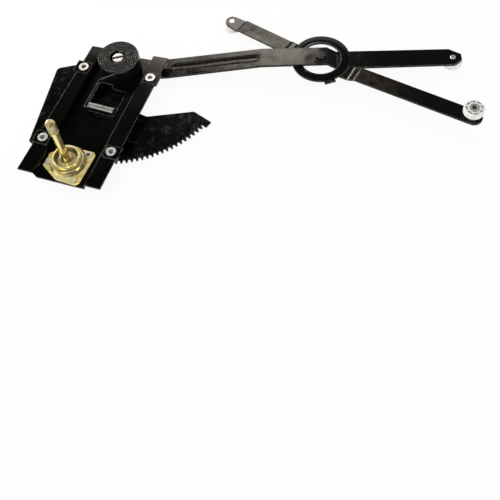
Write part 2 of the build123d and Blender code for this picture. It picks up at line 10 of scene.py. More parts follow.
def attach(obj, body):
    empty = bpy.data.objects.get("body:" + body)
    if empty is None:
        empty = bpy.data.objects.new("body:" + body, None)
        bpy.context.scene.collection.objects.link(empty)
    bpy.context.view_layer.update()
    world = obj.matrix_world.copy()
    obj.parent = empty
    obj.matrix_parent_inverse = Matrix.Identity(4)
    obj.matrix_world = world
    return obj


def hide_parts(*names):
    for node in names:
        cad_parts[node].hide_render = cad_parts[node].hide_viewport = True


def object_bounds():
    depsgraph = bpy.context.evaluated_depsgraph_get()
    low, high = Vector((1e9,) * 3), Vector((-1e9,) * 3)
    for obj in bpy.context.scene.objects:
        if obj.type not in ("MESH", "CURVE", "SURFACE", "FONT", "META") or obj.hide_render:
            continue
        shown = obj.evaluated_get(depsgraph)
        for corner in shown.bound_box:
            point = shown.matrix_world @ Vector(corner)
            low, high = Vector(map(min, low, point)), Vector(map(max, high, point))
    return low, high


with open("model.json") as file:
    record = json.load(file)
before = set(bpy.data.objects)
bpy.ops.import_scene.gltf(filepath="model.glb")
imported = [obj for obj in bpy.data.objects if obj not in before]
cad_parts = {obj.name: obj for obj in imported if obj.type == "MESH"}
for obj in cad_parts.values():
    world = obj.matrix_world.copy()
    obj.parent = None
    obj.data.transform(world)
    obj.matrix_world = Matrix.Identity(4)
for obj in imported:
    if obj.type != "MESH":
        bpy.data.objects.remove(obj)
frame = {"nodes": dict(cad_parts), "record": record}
cadLow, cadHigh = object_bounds()
nodes = frame["nodes"]
bodyOf = {name: body for body, names in frame["record"]["behaviour"]["bodies"].items() for name in names}
slotOf = {part["node"]: part["material_slot"] for part in frame["record"]["subparts"]}
mm = 0.001
print("frame loaded:", len(nodes), "nodes")


class Wire:
    # a node's socket that takes part in Python sums, each of which adds its Math node
    def __init__(self, tree, socket):
        self.tree = tree
        self.socket = socket

    def math(self, operation, *others):
        return self.tree.sum(operation, self, *others)

    def __add__(self, other):
        return self.math("ADD", other)

    def __sub__(self, other):
        return self.math("SUBTRACT", other)

    def __rsub__(self, other):
        return self.tree.sum("SUBTRACT", other, self)

    def __mul__(self, other):
        return self.math("MULTIPLY", other)

    def __truediv__(self, other):
        return self.math("DIVIDE", other)

    def __abs__(self):
        return self.math("ABSOLUTE")

    __radd__ = __add__
    __rmul__ = __mul__

    def between(self, low, high):
        # 0 below low, 1 above high, smooth between
        return self.tree.node("ShaderNodeMapRange", {"interpolation_type": "SMOOTHSTEP"},
                              {"Value": self, "From Min": low, "From Max": high})

    def ramped(self, low, high, first, last):
        # first below low, last above high, straight between
        return self.tree.node("ShaderNodeMapRange", None, {"Value": self, "From Min": low, "From Max": high,
                              "To Min": first, "To Max": last})


class Tree:
    # a node tree of any kind; a socket takes a plain value or a wire
    def __init__(self, tree):
        self.tree = tree
        self.tree.nodes.clear()

    def feed(self, socket, value):
        if isinstance(value, Wire):
            self.tree.links.new(value.socket, socket)
        else:
            socket.default_value = value

    def node(self, kind, settings=None, values=None, out=0):
        made = self.tree.nodes.new(kind)
        for key, value in (settings or {}).items():
            if key == "stops":
                ramp = made.color_ramp
                while len(ramp.elements) < len(value):
                    ramp.elements.new(0.5)
                for element, (place, colour) in zip(ramp.elements, value):
                    element.position = place
                    element.color = (*colour, 1)
            else:
                setattr(made, key, value)
        for key, value in (values or {}).items():
            self.feed(made.inputs[key], value)
        return Wire(self, made.outputs[out]) if made.outputs else made

    def sum(self, operation, *values):
        return self.node("ShaderNodeMath", {"operation": operation}, dict(enumerate(values)))

    def vector(self, operation, *values, out=0):
        return self.node("ShaderNodeVectorMath", {"operation": operation}, dict(enumerate(values)), out)

    def part(self, vector, axis):
        return self.node("ShaderNodeSeparateXYZ", None, {0: vector}, out=axis)


# Edges and pockets, which some finishes paint paler (worn paint and painted highlight) and darker (painted
# shade): how finely they are sampled, and which lean of the face counts as an edge.
rounding = {"samples": 6, "rim": (0.012, 0.16)}


class Shader(Tree):
    def __init__(self, name):
        self.material = bpy.data.materials.new(name)
        self.material.use_nodes = True
        super().__init__(self.material.node_tree)

    def spot(self):
        return self.node("ShaderNodeTexCoord", out="Object")

    def flatSpot(self):
        # object coordinates with the height taken out
        return self.vector("MULTIPLY", self.spot(), (1, 1, 0))

    def stretched(self, scale):
        return self.node("ShaderNodeMapping", None, {"Vector": self.spot(), "Scale": scale})

    def noise(self, scale, detail=3.0, rough=0.5, stretch=(1, 1, 1), twist=0.0):
        return self.node("ShaderNodeTexNoise", None, {"Vector": self.stretched(stretch), "Scale": scale,
                         "Detail": detail, "Roughness": rough, "Distortion": twist})

    def cells(self, scale):
        return self.node("ShaderNodeTexVoronoi", None, {"Vector": self.stretched((1, 1, 1)), "Scale": scale})

    def mix(self, factor, a, b):
        mixed = self.tree.nodes.new("ShaderNodeMix")
        mixed.data_type = "RGBA"
        for name, value in (("Factor_Float", factor), ("A_Color", a), ("B_Color", b)):
            socket = next(s for s in mixed.inputs if s.identifier == name)
            self.feed(socket, (*value, 1) if isinstance(value, tuple) else value)
        return Wire(self, next(s for s in mixed.outputs if s.identifier == "Result_Color"))

    def bump(self, height, depth, strength, onto):
        return self.node("ShaderNodeBump", None, {"Height": height, "Distance": depth, "Strength": strength,
                         "Normal": onto})

    def rounded(self, radius):
        # a normal that rolls over the sharp edges, and a mask that is 1 on those edges
        soft = self.node("ShaderNodeBevel", {"samples": rounding["samples"]}, {"Radius": radius})
        flat = self.node("ShaderNodeNewGeometry", out="True Normal")
        lean = self.vector("DOT_PRODUCT", soft, flat, out="Value")
        return soft, (1 - lean).between(*rounding["rim"])

    def open(self, reach):
        # 1 on open faces, falling to 0 in corners and pockets
        return self.node("ShaderNodeAmbientOcclusion", {"samples": rounding["samples"]}, {"Distance": reach},
                         out="AO")

    def within(self, low, high, fade=0.0003):
        # 1 inside a box, fading out over its faces
        inside = 1.0
        for axis in range(3):
            at = self.part(self.spot(), axis)
            above = at.between(low[axis] - fade, low[axis] + fade)
            inside = inside * above * (1 - at.between(high[axis] - fade, high[axis] + fade))
        return inside

    def alongX(self, start, end=None):
        # 0 before start and 1 after it, and back to 0 after end
        x = self.part(self.spot(), 0)
        risen = x.between(*start)
        return risen * (1 - x.between(*end)) if end else risen

    def near(self, place, radius):
        away = self.vector("DISTANCE", self.spot(), place, out="Value")
        return 1 - away.between(radius * 0.6, radius)

    def show(self, surface):
        self.node("ShaderNodeOutputMaterial", None, {"Surface": surface})
        return self.material

    def finish(self, **values):
        # a socket's name is written with _ for its spaces
        named = {key.replace("_", " "): value for key, value in values.items()}
        return self.show(self.node("ShaderNodeBsdfPrincipled", None, named))


def stronger(mask, other):
    return other if mask is None else mask.math("MAXIMUM", other)


# Black paint. Each piece's own coat, further down, names what differs from these values.
paint = {"black": (0.0011, 0.0011, 0.0010), "thin": (0.0030, 0.0027, 0.0023), "dust": (0.05, 0.047, 0.04),
         "oil": (0.022, 0.021, 0.018), "rubbedAndHighlitEdge": (0.27, 0.26, 0.245), "bare": (0.62, 0.61, 0.58),
         "brown": (0.024, 0.0195, 0.013), "gloss": 0.06, "smear": 0.07, "specular": 0.22,
         "cloud": 38, "streak": 150, "speck": 520, "edgePatches": 260, "oilGrain": 85, "filmAndSheen": 52,
         "dents": 24, "dentDepth": 0.0016, "dentStrength": 0.22, "mottleDents": 0.5,
         "orangePeel": 1100, "peelDepth": 0.00006, "peelStrength": 0.45,
         "edge": 0.0008, "dusty": 0.25, "wornAndHighlit": 0.7, "grease": 0.0, "mottle": 0.0, "mottleEnds": None,
         "bars": None, "chips": (), "bends": None, "sheen": None, "matt": None, "ring": None, "bead": None}


def bareSteelShows(s, bars, chips):
    # a lip rubbed bare in two bars with paint left between them, and small chips
    bare = None
    if bars:
        y = s.part(s.flatSpot(), 1)
        seam = abs(y - (bars[0][1] + bars[1][1]) / 2).between(0.0004, 0.0011)
        patchy = s.noise(420, 3, 0.6, (1, 0.4, 1)).between(0.42, 0.52)
        bare = s.within(*bars) * (seam * 0.8 + patchy * 0.3) * s.noise(330, 2).between(0.30, 0.42)
    for chip in chips:
        bare = stronger(bare, s.near(*chip))
    return bare


def paintedBendHighlights(s, bends):
    # pale lines across an arm on the bends of its step: painted highlights
    angle = radians(bends["angle"])
    local = s.vector("SUBTRACT", s.flatSpot(), (*bends["from"], 0.0))
    along = s.vector("DOT_PRODUCT", local, (cos(angle), sin(angle), 0.0), out="Value")
    lines = None
    for reach in bends["at"]:
        lines = stronger(lines, 1 - abs(along - reach).between(bends["half"] * 0.5, bends["half"]))
    return lines * (s.noise(260, 3, 0.7).between(0.30, 0.50) * 0.6 + 0.4)


def rolledRing(s, ring, roll):
    # the ring is rolled: its face falls away to both sides of a crown line
    out = s.vector("DISTANCE", s.flatSpot(), (*ring["centre"], 0.0), out="Value")
    band = out.between(ring["inner"] - 0.001, ring["inner"])
    band = band * (1 - out.between(ring["outer"], ring["outer"] + 0.002))
    lean = (out - ring["crown"]) / mm
    return s.bump(0 - lean * lean * band * ring["fall"], mm, 1.0, roll)


def dishedBead(s, bead, roll):
    # the pressed channel is dished: its face rises from the middle to both edges
    half, middle = bead["half"] / mm, bead["length"] / 2
    turned = s.node("ShaderNodeVectorRotate", {"rotation_type": "Z_AXIS"},
                    {"Vector": s.spot(), "Center": bead["start"], "Angle": -radians(bead["angle"])})
    local = s.vector("SUBTRACT", turned, bead["start"])
    past = (abs(s.part(local, 0) - middle) - middle).math("MAXIMUM", 0.0) / mm
    side = s.part(local, 1) / mm
    off = (past * past + side * side).math("SQRT")
    inside = 1 - off.between(half - 0.5, half + 0.7)
    return s.bump((off * off - half ** 2) * inside * bead["dish"], mm, 1.0, roll)


def blackPaint(name, own):
    look = {**paint, **own}
    s = Shader(name)
    roll, rim = s.rounded(look["edge"])
    cloud = s.noise(look["cloud"], 4, 0.6)
    streak = s.noise(look["streak"], 3, 0.6, (1, 0.18, 1))
    specks = (1 - s.cells(look["speck"]).between(0.0, 0.20)) * s.noise(60, 2).between(0.52, 0.66) * look["dusty"]
    tone = s.mix(cloud.between(0.35, 0.8), look["black"], look["thin"])
    tone = s.mix(specks, tone, look["dust"])
    # the edges are painted paler: partly worn paint, partly painted highlight
    edgePatches = s.noise(look["edgePatches"], 4, 0.7).between(0.35, 0.6) * look["wornAndHighlit"]
    tone = s.mix(rim * edgePatches, tone, look["rubbedAndHighlitEdge"])
    shine = cloud * look["smear"] + streak * 0.08 + look["gloss"] + specks * 0.3
    metal = 0.0
    if look["grease"]:
        oil = s.noise(look["oilGrain"], 5, 0.7, twist=0.8).between(0.5, 0.68) * look["grease"]
        tone = s.mix(oil, tone, look["oil"])
        shine = shine + oil * 0.22
    if look["bars"] or look["chips"]:
        bare = bareSteelShows(s, look["bars"], look["chips"])
        tone = s.mix(bare, tone, look["bare"])
        metal = bare * 0.6
    if look["bends"]:
        # the bends of the step get pale lines: painted highlights
        tone = s.mix(paintedBendHighlights(s, look["bends"]), tone, look["bends"]["tone"])
    if look["sheen"]:
        sheen = look["sheen"]
        glow = s.alongX(sheen["from"], sheen["to"]) * s.noise(70, 4, 0.6).between(0.30, 0.62)
        tone = s.mix(glow, tone, sheen["tone"])
        shine = shine + glow * 0.10
    if look["ring"]:
        roll = rolledRing(s, look["ring"], roll)
    if look["bead"]:
        roll = dishedBead(s, look["bead"], roll)
    if look["matt"]:
        # grease round the pivot takes the shine off the arm
        shine = shine + s.alongX(look["matt"]["from"], look["matt"]["to"]) * 0.5
    if look["mottle"]:
        # a mottled brown tone that fades out along the arm: partly a thin film, partly painted sheen
        filmAndSheen = s.noise(look["filmAndSheen"], 5, 0.65, (1, 1, 0.2), 0.7).between(0.44, 0.68)
        filmAndSheen = filmAndSheen * (1 - s.alongX(look["mottleEnds"]))
        tone = s.mix(filmAndSheen * look["mottle"], tone, look["brown"])
        shine = shine + filmAndSheen * 0.08
    dents = look["dentStrength"] + look["mottle"] * look["mottleDents"]
    waves = s.bump(s.noise(look["dents"], 2, 0.4), look["dentDepth"], dents, roll)
    skin = s.bump(s.noise(look["orangePeel"], 2), look["peelDepth"], look["peelStrength"], waves)
    return s.finish(Base_Color=tone, Roughness=shine, Metallic=metal, Specular_IOR_Level=look["specular"],
                    Normal=skin)


# Yellow chromate over zinc: cloudy on flat faces, streaked out from the crank on steep ones.
gold = {"pale": (0.97, 0.90, 0.52), "deep": (0.92, 0.74, 0.20), "olive": (0.50, 0.42, 0.15),
        "rose": (0.82, 0.50, 0.26), "rim": (0.99, 0.96, 0.82), "grimeAndShade": (0.10, 0.075, 0.03),
        "stain": (0.13, 0.10, 0.04), "flatMetal": 0.42, "steepMetal": 0.88, "gloss": 0.11,
        "cloud": 95, "streak": 3.4, "mark": 900, "stains": 420, "specks": 620, "skin": (0.00005, 0.35),
        "reach": 0.009, "edge": 0.0006, "speckled": None}


def goldZinc(name, own):
    look = {**gold, **own}
    s = Shader(name)
    roll, rim = s.rounded(look["edge"])
    drift = s.noise(look["cloud"], 3, 0.55, twist=0.6)
    streaks = s.node("ShaderNodeTexNoise", None, {"Vector": s.vector("NORMALIZE", s.flatSpot()),
                     "Scale": look["streak"], "Detail": 3.0, "Roughness": 0.6})
    face = s.node("ShaderNodeNewGeometry", out="True Normal")
    steep = (1 - abs(s.part(face, 2))).between(0.02, 0.3)
    blend = drift * (1 - steep) + streaks * steep
    stops = zip((0.28, 0.40, 0.50, 0.58, 0.68), ("olive", "deep", "pale", "deep", "rose"))
    tone = s.node("ShaderNodeValToRGB", {"stops": [(place, look[colour]) for place, colour in stops]},
                  {"Fac": blend})
    marks = s.noise(look["mark"], 3, 0.6, (1, 1, 0.06))
    stain = s.noise(look["stains"], 4, 0.7).between(0.60, 0.74)
    if look["speckled"]:
        specks = s.noise(look["specks"], 4, 0.7).between(0.40, 0.50)
        stain = stronger(stain, s.within(*look["speckled"]) * specks)
    tone = s.mix(stain * 0.7, tone, look["stain"])
    # corners and pockets are painted darker: painted shade
    tone = s.mix(s.open(look["reach"]).between(0.22, 0.80), look["grimeAndShade"], tone)
    # the edges are painted near-white: painted highlight
    tone = s.mix(rim * 0.8, tone, look["rim"])
    metal = steep * (look["steepMetal"] - look["flatMetal"]) + look["flatMetal"]
    return s.finish(Base_Color=tone, Metallic=metal, Roughness=marks * 0.14 + stain * 0.15 + look["gloss"],
                    Normal=s.bump(marks, *look["skin"], roll))


# Bright zinc on nuts and studs.
zinc = {"dim": (0.60, 0.60, 0.58), "clear": (0.84, 0.84, 0.82), "pit": (0.26, 0.25, 0.23),
        "grimeAndShade": (0.07, 0.066, 0.058), "metal": 0.8, "gloss": 0.24, "cloud": 600, "pits": 1500,
        "skin": (0.00004, 0.3), "reach": 0.004, "edge": 0.0004}


def brightZinc(name, own):
    look = {**zinc, **own}
    s = Shader(name)
    roll = s.rounded(look["edge"])[0]
    cloud = s.noise(look["cloud"], 4, 0.6)
    tone = s.mix(cloud.between(0.35, 0.7), look["dim"], look["clear"])
    tone = s.mix((1 - s.cells(look["pits"]).between(0.0, 0.12)) * 0.5, tone, look["pit"])
    # corners and pockets are painted darker: painted shade
    tone = s.mix(s.open(look["reach"]).between(0.35, 0.85), look["grimeAndShade"], tone)
    return s.finish(Base_Color=tone, Metallic=look["metal"], Roughness=cloud * 0.25 + look["gloss"],
                    Normal=s.bump(cloud, *look["skin"], roll))


# Dark spring steel, with pale lines painted along the strip's edges: painted highlights.
strip = {"low": (0.004, 0.004, 0.0045), "high": (0.018, 0.0175, 0.017), "wornAndHighlit": (0.50, 0.49, 0.46),
         "metal": 0.4, "gloss": 0.16, "specular": 0.3, "lines": 700, "scale": 130,
         "skin": (0.00005, 0.4), "edge": 0.0005}


def springSteel(name, own):
    look = {**strip, **own}
    s = Shader(name)
    roll, rim = s.rounded(look["edge"])
    lines = s.noise(look["lines"], 4, 0.65, (0.25, 0.25, 3))
    scale = s.noise(look["scale"], 4, 0.6)
    tone = s.mix(scale.between(0.35, 0.7), look["low"], look["high"])
    # pale lines on the strip's edges: painted highlights
    tone = s.mix(rim * scale.between(0.15, 0.5), tone, look["wornAndHighlit"])
    return s.finish(Base_Color=tone, Metallic=look["metal"], Specular_IOR_Level=look["specular"],
                    Roughness=lines * 0.22 + scale * 0.12 + look["gloss"],
                    Normal=s.bump(lines, *look["skin"], roll))


# Bare steel of the pinion, the bush and the rivets.
steel = {"low": (0.42, 0.40, 0.37), "high": (0.62, 0.60, 0.56), "rust": (0.20, 0.10, 0.05), "metal": 0.9,
         "gloss": 0.22, "lines": 850, "rustGrain": 240, "skin": (0.00005, 0.4), "edge": 0.0004}


def bareSteel(name, look):
    s = Shader(name)
    roll = s.rounded(look["edge"])[0]
    lines = s.noise(look["lines"], 4, 0.6, (1, 1, 0.1))
    rust = s.noise(look["rustGrain"], 5, 0.7).between(0.58, 0.72)
    tone = s.mix(lines.between(0.3, 0.7), look["low"], look["high"])
    tone = s.mix(rust * 0.6, tone, look["rust"])
    return s.finish(Base_Color=tone, Metallic=look["metal"], Roughness=lines * 0.2 + rust * 0.2 + look["gloss"],
                    Normal=s.bump(lines, *look["skin"], roll))


# White nylon of the rollers, with patches of grime, and painted shade in the pockets.
nylon = {"low": (0.70, 0.70, 0.68), "high": (0.84, 0.84, 0.825), "grimeAndShade": (0.42, 0.40, 0.36),
         "pocketShade": (0.13, 0.12, 0.10), "gloss": 0.30, "cloud": 220, "dirt": 500, "grain": 1500,
         "skin": (0.00004, 0.3), "soft": 0.1, "softDepth": 0.002, "reach": 0.003, "edge": 0.0005}


def whiteNylon(name, look):
    s = Shader(name)
    roll = s.rounded(look["edge"])[0]
    cloud = s.noise(look["cloud"], 3, 0.5)
    grimeAndShade = s.noise(look["dirt"], 4, 0.7).between(0.60, 0.72)
    tone = s.mix(cloud.between(0.3, 0.7), look["low"], look["high"])
    tone = s.mix(grimeAndShade * 0.35, tone, look["grimeAndShade"])
    # corners and pockets are painted darker: painted shade
    tone = s.mix(s.open(look["reach"]).between(0.30, 0.80), look["pocketShade"], tone)
    return s.finish(Base_Color=tone, Roughness=cloud * 0.2 + look["gloss"], Subsurface_Weight=look["soft"],
                    Subsurface_Scale=look["softDepth"],
                    Normal=s.bump(s.noise(look["grain"], 2), *look["skin"], roll))


finishes = {"black_paint": blackPaint("blackPaint", {}), "gold_zinc": goldZinc("goldZinc", {}),
            "bright_zinc": brightZinc("brightZinc", {}), "spring_steel": springSteel("springSteel", {}),
            "bare_steel": bareSteel("bareSteel", steel), "white_nylon": whiteNylon("whiteNylon", nylon)}

plateCoat = {"edge": 0.0009, "wornAndHighlit": 1.0,
             "bars": ((-0.0112, 0.0810, -0.0040), (0.0242, 0.0887, -0.0020)),  # the lip over the window
             "chips": (((-0.0373, 0.0992, 0.0), 0.0012), ((0.0057, 0.1234, -0.002), 0.0010),
                       ((0.0236, 0.0908, -0.002), 0.0012))}
armCoat = {"edge": 0.0011, "black": (0.0042, 0.0041, 0.0038), "mottle": 0.9, "mottleEnds": (0.238, 0.252),
           "matt": {"from": (0.243, 0.250), "to": (0.264, 0.268)},
           "bead": {"start": (0.06976, 0.18189, 0.0), "angle": 18.35, "length": 0.106, "half": 0.0065,
                    "dish": 0.015}}
ringCoat = {"edge": 0.0011, "black": (0.0050, 0.0050, 0.0048), "mottle": 0.9, "mottleEnds": (0.205, 0.222),
            "ring": {"centre": (0.25058, 0.24192), "inner": 0.0259, "outer": 0.0377, "crown": 0.0268,
                     "fall": 0.030},
            "bends": {"from": (0.25058, 0.24186), "angle": -10.84, "at": (0.0466, 0.0552), "half": 0.0016,
                      "tone": (0.24, 0.24, 0.205)},
            "sheen": {"from": (0.296, 0.306), "to": (0.335, 0.385), "tone": (0.018, 0.0145, 0.012)}}
pinCoat = {"edge": 0.0005, "dusty": 0.2, "wornAndHighlit": 0.9}
sectorCoat = {"edge": 0.0005, "dusty": 0.35, "grease": 0.5}
wrapCoat = {"edge": 0.0003, "low": (0.10, 0.08, 0.04), "high": (0.22, 0.17, 0.09)}
shaftCoat = {"edge": 0.0004, "speckled": ((-0.007, -0.007, 0.054), (0.007, 0.007, 0.071))}
rivetCoat = {"edge": 0.0005, "dim": (0.66, 0.636, 0.5336), "clear": (0.924, 0.8904, 0.7544), "metal": 0.6,
             "gloss": 0.20}
pinPaint = blackPaint("pinPaint", pinCoat)
palePlate = brightZinc("palePlate", rivetCoat)
coats = {"base_plate": blackPaint("platePaint", plateCoat), "lift_arm": blackPaint("armPaint", armCoat),
         "equalizer_arm": blackPaint("ringPaint", ringCoat),
         "sector_gear": blackPaint("greasyPaint", sectorCoat), "centre_pivot": pinPaint,
         "centre_washer": pinPaint, "crank_shaft": goldZinc("shaftGold", shaftCoat),
         "brake_spring": springSteel("wrapSteel", wrapCoat), "housing_rivets": palePlate,
         "housing_eyelet": palePlate}


def wear(obj, material):
    obj.data.materials.clear()
    obj.data.materials.append(material)


for name, obj in nodes.items():
    wear(obj, coats.get(name) or finishes[slotOf[name]])
print("nodes dressed:", len(nodes), "with", len(coats), "coats of their own")


class Growth(Tree):
    # a Geometry Nodes tree with named inputs, and the object that it makes
    def __init__(self, name):
        super().__init__(bpy.data.node_groups.new(name, "GeometryNodeTree"))
        self.sockets = {}
        for way in ("INPUT", "OUTPUT"):
            self.tree.interface.new_socket("Geometry", in_out=way, socket_type="NodeSocketGeometry")
        self.entry = self.tree.nodes.new("NodeGroupInput")

    def given(self):
        # the points and edges that the object starts from
        return Wire(self, self.entry.outputs[0])

    def ask(self, name, kind="Float"):
        socket = self.tree.interface.new_socket(name, in_out="INPUT", socket_type="NodeSocket" + kind)
        self.sockets[name] = socket.identifier
        return Wire(self, self.entry.outputs[name])

    def close(self, geometry, material):
        whole = self.node("GeometryNodeRealizeInstances", None, {0: geometry})
        dressed = self.node("GeometryNodeSetMaterial", None, {"Geometry": whole, "Material": material})
        self.node("NodeGroupOutput", None, {0: dressed})

    def grow(self, name, values, points, edges=()):
        made = addObject(name, bpy.data.meshes.new(name))
        made.data.from_pydata(points, edges, [])
        modifier = made.modifiers.new("growth", "NODES")
        modifier.node_group = self.tree
        for key, value in values.items():
            modifier[self.sockets[key]] = value
        view = bpy.context.evaluated_depsgraph_get()
        made.data = bpy.data.meshes.new_from_object(made.evaluated_get(view), depsgraph=view)
        made.modifiers.clear()
        return made


def addObject(name, data):
    made = bpy.data.objects.new(name, data)
    bpy.context.scene.collection.objects.link(made)
    return made


def weld(obj, angle):
    # close the seams, turn the faces outwards and keep only the real corners sharp
    work = bmesh.new()
    work.from_mesh(obj.data)
    bmesh.ops.remove_doubles(work, verts=work.verts, dist=2e-6)
    bmesh.ops.recalc_face_normals(work, faces=work.faces)
    for face in work.faces:
        face.smooth = True
    for edge in work.edges:
        edge.smooth = len(edge.link_faces) == 2 and edge.calc_face_angle() < radians(angle)
    work.to_mesh(obj.data)
    work.free()


# Counterbalance spring: a spiral strip and the tail that hooks round the window's walls.
spring = {"pivot": (0.0, 0.15875), "innerRadius": 0.01040, "pitch": 0.00275, "halfTurns": 13, "leaves": -73.0,
          "strip": 0.0186, "thickness": 0.0015, "corner": 0.00012, "slot": 30.0, "tangReach": 1.04,
          "tail": ((-15.2, 125.8), (-15.2, 79.6), (-9.0, 79.6)), "tailBend": 3.0,  # in millimetres
          "tailLevel": -3.0, "tailRise": 0.53, "steps": 72, "cornerSteps": 3, "crease": 35}


def filleted(corners, radius, steps=7):
    line = [Vector(corners[0])]
    for before, at, after in zip(corners, corners[1:], corners[2:]):
        at = Vector(at)
        arrive, depart = (at - Vector(before)).normalized(), (Vector(after) - at).normalized()
        reach = radius * tan(arrive.angle(depart) / 2)
        start, end = at - arrive * reach, at + depart * reach
        for k in range(steps + 1):
            t = k / steps
            line.append(start * (1 - t) ** 2 + at * 2 * t * (1 - t) + end * t * t)
    return line + [Vector(corners[-1])]


def springTree(steps, cornerSteps):
    g = Growth("clockSpring")
    innerRadius, outerRadius, turns, startAngle = (
        g.ask(name) for name in ("Inner Radius", "Outer Radius", "Turns", "Start Angle"))
    strip, thickness, corner = (g.ask(name) for name in ("Strip", "Thickness", "Corner"))
    tailFoot, tailLevel, tailCorner, tailRise = (
        g.ask(name) for name in ("Tail Foot", "Tail Level", "Tail Corner", "Tail Rise"))
    pivot, steel = g.ask("Pivot", "Vector"), g.ask("Steel", "Material")
    coil = g.node("GeometryNodeCurveSpiral", None, {"Resolution": steps, "Rotations": turns,
                  "Start Radius": innerRadius, "End Radius": outerRadius, "Height": 0.0, "Reverse": False})
    coil = g.node("GeometryNodeTransform", None, {"Geometry": coil, "Translation": pivot,
                  "Rotation": g.node("ShaderNodeCombineXYZ", None, {"Z": startAngle})})
    block = g.node("GeometryNodeCurvePrimitiveQuadrilateral", None, {"Width": thickness, "Height": strip})
    block = g.node("GeometryNodeFilletCurve", {"mode": "POLY"}, {"Curve": block, "Count": cornerSteps,
                   "Radius": corner})
    strips = []
    for path in (coil, g.node("GeometryNodeMeshToCurve", None, {0: g.given()})):
        path = g.node("GeometryNodeSetCurveNormal", {"mode": "Z_UP"}, {"Curve": path})
        strips.append(g.node("GeometryNodeCurveToMesh", None, {"Curve": path, "Profile Curve": block,
                             "Fill Caps": True}))
    # the tail's upper edge is cut down to a slope that rises from its corner to the coil
    place = g.node("GeometryNodeInputPosition")
    x, z = g.part(place, 0), g.part(place, 2)
    limit = (x - tailCorner) * tailRise + tailLevel
    share = ((limit - tailFoot) / strip).math("MINIMUM", 1.0)
    lowered = (z - tailFoot) * share + tailFoot
    down = g.node("ShaderNodeCombineXYZ", None, {"Z": lowered - z})
    strips[1] = g.node("GeometryNodeSetPosition", None, {"Geometry": strips[1], "Offset": down})
    join = g.tree.nodes.new("GeometryNodeJoinGeometry")
    for part in strips:
        g.feed(join.inputs[0], part)
    g.close(Wire(g, join.outputs[0]), steel)
    return g


def makeTang(spec, reach):
    # the strip's inner end lies in the stud's slot and turns with the stud
    along = Vector((cos(radians(spec["slot"])), sin(radians(spec["slot"])), 0.0))
    across, up = Vector((-along.y, along.x, 0.0)), Vector((0.0, 0.0, 1.0))
    middle = Vector((*spec["pivot"], 0.0)) + along * reach / 2
    work = bmesh.new()
    bmesh.ops.create_cube(work, size=1.0)
    for vert in work.verts:
        vert.co = (middle + along * vert.co.x * reach + across * vert.co.y * spec["thickness"]
                   + up * vert.co.z * spec["strip"])
    mesh = bpy.data.meshes.new("springTang")
    work.to_mesh(mesh)
    work.free()
    made = addObject("springTang", mesh)
    wear(made, finishes["spring_steel"])
    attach(made, bodyOf["pivot_stud"])


def makeSpring(spec):
    x0, y0 = spec["pivot"]
    outer = spec["innerRadius"] + (spec["halfTurns"] - 0.5) * spec["pitch"] / 2
    inner = spec["innerRadius"] - spec["pitch"] / 4
    leaves = radians(spec["leaves"])
    leave = Vector((x0 + outer * cos(leaves), y0 + outer * sin(leaves)))
    tail = filleted([leave / mm] + [Vector(at) for at in spec["tail"]], spec["tailBend"])
    made = springTree(spec["steps"], spec["cornerSteps"]).grow("counterbalanceSpring", {
        "Inner Radius": inner, "Outer Radius": outer, "Turns": spec["halfTurns"] / 2,
        "Start Angle": leaves + pi * spec["halfTurns"], "Strip": spec["strip"],
        "Thickness": spec["thickness"], "Corner": spec["corner"], "Tail Foot": -spec["strip"] / 2,
        "Tail Level": spec["tailLevel"] * mm, "Tail Corner": spec["tail"][0][0] * mm,
        "Tail Rise": spec["tailRise"], "Pivot": (x0, y0, 0.0), "Steel": finishes["spring_steel"]},
        [(p.x * mm, p.y * mm, 0.0) for p in tail], [(k, k + 1) for k in range(len(tail) - 1)])
    weld(made, spec["crease"])
    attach(made, bodyOf["counterbalance_spring"])
    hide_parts("counterbalance_spring")
    makeTang(spec, inner * spec["tangReach"])
    print("counterbalance spring wound:", len(made.data.polygons), "faces")


# Threads in the four clinch nuts.
threads = {"pitch": 0.0010, "radius": 0.00312, "wire": 0.00034, "turns": 5.5, "foot": -0.0062,
           "steps": 36, "sides": 6, "crease": 80,
           "nuts": ((-42.5, 19.0), (-42.5, 138.0), (50.0, 24.5), (50.0, 146.5))}


def makeThreads(spec):
    g = Growth("nutThreads")
    radius, turns, length, wire = (g.ask(name) for name in ("Radius", "Turns", "Length", "Wire"))
    plating = g.ask("Plating", "Material")
    line = g.node("GeometryNodeCurveSpiral", None, {"Resolution": spec["steps"], "Rotations": turns,
                  "Start Radius": radius, "End Radius": radius, "Height": length})
    ridge = g.node("GeometryNodeCurvePrimitiveCircle", None, {"Resolution": spec["sides"], "Radius": wire})
    helix = g.node("GeometryNodeCurveToMesh", None, {"Curve": line, "Profile Curve": ridge, "Fill Caps": True})
    g.close(g.node("GeometryNodeInstanceOnPoints", None, {"Points": g.given(), "Instance": helix}), plating)
    made = g.grow("nutThreads", {"Radius": spec["radius"], "Turns": spec["turns"], "Wire": spec["wire"],
                  "Length": spec["pitch"] * spec["turns"], "Plating": finishes["bright_zinc"]},
                  [(x * mm, y * mm, spec["foot"]) for x, y in spec["nuts"]])
    weld(made, spec["crease"])
    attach(made, bodyOf["clinch_nuts"])
    print("nut threads cut:", len(made.data.polygons), "faces")


makeSpring(spring)
makeThreads(threads)


